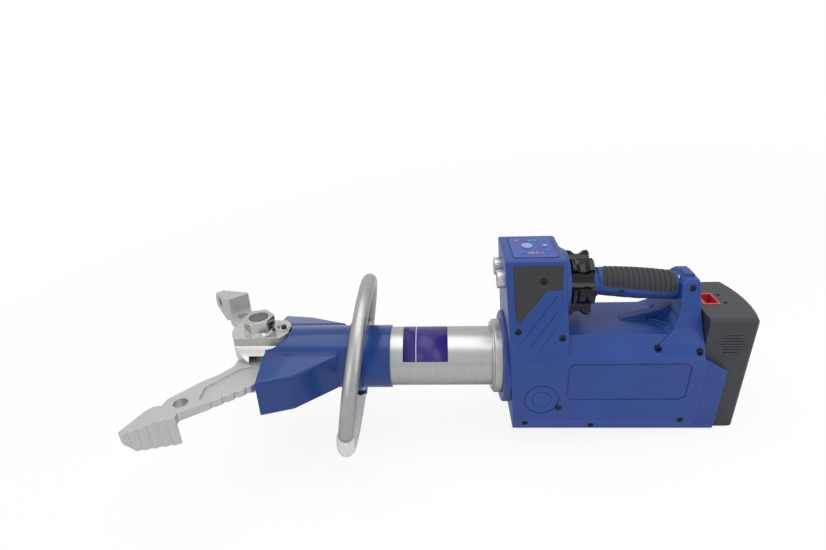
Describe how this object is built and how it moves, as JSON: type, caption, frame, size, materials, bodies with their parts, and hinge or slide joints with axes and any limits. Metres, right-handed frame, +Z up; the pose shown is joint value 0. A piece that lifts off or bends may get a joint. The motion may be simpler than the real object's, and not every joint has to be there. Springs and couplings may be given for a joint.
{
  "type": "battery rescue combi tool",
  "caption": "Handheld electric rescue combi tool: hydraulic cylinder with crossing cutter and spreader arms, hoop handle, blue motor housing with star knob, top grip and rear battery.",
  "frame": {"origin": "centre of the front foot pad's underside", "axes": "+Z up, +X along the cylinder axis from the arms towards the battery, +Y to the far side"},
  "size_m": [0.7278, 0.3064, 0.2835],
  "materials": {
    "housing_blue": "satin moulded plastic",
    "guard_blue": "gloss powder coat",
    "charcoal_plastic": "textured moulding",
    "grip_rubber": "matt overmould",
    "knob_black": "gloss moulding",
    "satin_aluminium": "satin turned",
    "cast_arm": "fine cast and machined",
    "bright_steel": "zinc plated",
    "hoop_metal": "brushed tube",
    "clear_sleeve": "clear soft plastic",
    "red_plastic": "moulded",
    "display_film": "printed film",
    "led_lens": "small light windows",
    "lamp_glass": "clear lens",
    "dark_steel": "blackened",
    "seal_rubber": "matt",
    "cell_wrap": "shrink wrap",
    "board_green": "solder mask"
  },
  "bodies": {
    "housing": {"near_shell": "housing_blue", "far_shell": "housing_blue", "shell_screws": "dark_steel", "side_panels": "charcoal_plastic", "foot_pads": "grip_rubber", "display_panel": "display_film", "display_board": "board_green", "led_bars": "led_lens", "lamp_bezels": "satin_aluminium", "lamp_lenses": "lamp_glass", "grip_core": "bright_steel", "grip_anchor": "bright_steel", "grip_body": "housing_blue", "grip_collar": "housing_blue", "grip_top_pad": "grip_rubber", "grip_lower_pad": "grip_rubber", "knob_spring_ring": "bright_steel", "pump_block": "satin_aluminium", "gearbox": "satin_aluminium", "motor": "dark_steel", "valve_block": "satin_aluminium", "oil_tank": "seal_rubber", "control_board": "board_green", "contact_block": "charcoal_plastic", "battery_rails": "charcoal_plastic", "cylinder_tube": "satin_aluminium", "rod_gland": "bright_steel", "cylinder_cap": "satin_aluminium", "collar": "satin_aluminium", "front_ring": "housing_blue", "guard_sleeve": "guard_blue", "clevis_head": "satin_aluminium", "pivot_bolt": "bright_steel", "pivot_nut": "bright_steel", "locking_tab": "bright_steel", "tab_screw": "dark_steel", "hoop_handle": "hoop_metal", "hoop_foot_sleeve": "clear_sleeve", "hoop_clamp": "guard_blue", "hoop_clamp_bolt": "dark_steel"},
    "near_arm": {"upper_blade": "cast_arm", "near_tail_pin": "bright_steel"},
    "far_arm": {"lower_blade": "cast_arm", "far_tail_pin": "bright_steel"},
    "near_link": {"near_link": "bright_steel"},
    "far_link": {"far_link": "bright_steel"},
    "piston": {"yoke": "bright_steel", "yoke_pins": "bright_steel", "piston_rod": "bright_steel", "piston": "satin_aluminium", "piston_seal": "seal_rubber", "piston_nut": "dark_steel"},
    "knob": {"star_knob": "knob_black"},
    "battery": {"battery_case": "charcoal_plastic", "latch_frame": "red_plastic", "battery_cells": "cell_wrap"},
    "latch": {"battery_latch": "red_plastic"},
    "power_button": {"power_button": "grip_rubber"},
    "lamp_button": {"lamp_button": "grip_rubber"}
  },
  "joints": [
    {"name": "near_arm_pivot", "type": "hinge", "parent": "housing", "child": "near_arm", "pos_m": [-0.338, 0, 0.077], "axis": [0, 0, 1], "range_deg": [-50, 0]},
    {"name": "far_arm_pivot", "type": "hinge", "parent": "housing", "child": "far_arm", "pos_m": [-0.338, 0, 0.077], "axis": [0, 0, 1], "range_deg": [0, 50]},
    {"name": "piston_slide", "type": "slide", "parent": "housing", "child": "piston", "axis": [1, 0, 0], "range_m": [-0.03235, 0]},
    {"name": "near_link_pin", "type": "hinge", "parent": "near_arm", "child": "near_link", "pos_m": [-0.30833, -0.02039, 0.077], "axis": [0, 0, 1], "range_deg": [0, 73]},
    {"name": "far_link_pin", "type": "hinge", "parent": "far_arm", "child": "far_link", "pos_m": [-0.30833, 0.02039, 0.077], "axis": [0, 0, 1], "range_deg": [-73, 0]},
    {"name": "knob_turn", "type": "hinge", "parent": "housing", "child": "knob", "pos_m": [0.06, 0, 0.182], "axis": [1, 0, 0], "range_deg": [-30, 30], "stiffness_Nm_per_rad": 1.2},
    {"name": "battery_slide", "type": "slide", "parent": "housing", "child": "battery", "axis": [1, 0, 0], "range_m": [0, 0.08]},
    {"name": "latch_slide", "type": "slide", "parent": "battery", "child": "latch", "axis": [1, 0, 0], "range_m": [0, 0.006], "stiffness_N_per_m": 800},
    {"name": "power_button_press", "type": "slide", "parent": "housing", "child": "power_button", "axis": [0, 0, -1], "range_m": [0, 0.001], "stiffness_N_per_m": 2500},
    {"name": "lamp_button_press", "type": "slide", "parent": "housing", "child": "lamp_button", "axis": [0, 0, -1], "range_m": [0, 0.001], "stiffness_N_per_m": 2500}
  ],
  "couplings": [
    {"joint": "far_arm_pivot", "follows": "near_arm_pivot", "ratio": -1},
    {"joint": "piston_slide", "follows": "near_arm_pivot", "m_per_rad": 0.03684},
    {"joint": "near_link_pin", "follows": "near_arm_pivot", "ratio": -1.45},
    {"joint": "far_link_pin", "follows": "near_arm_pivot", "ratio": 1.45}
  ]
}
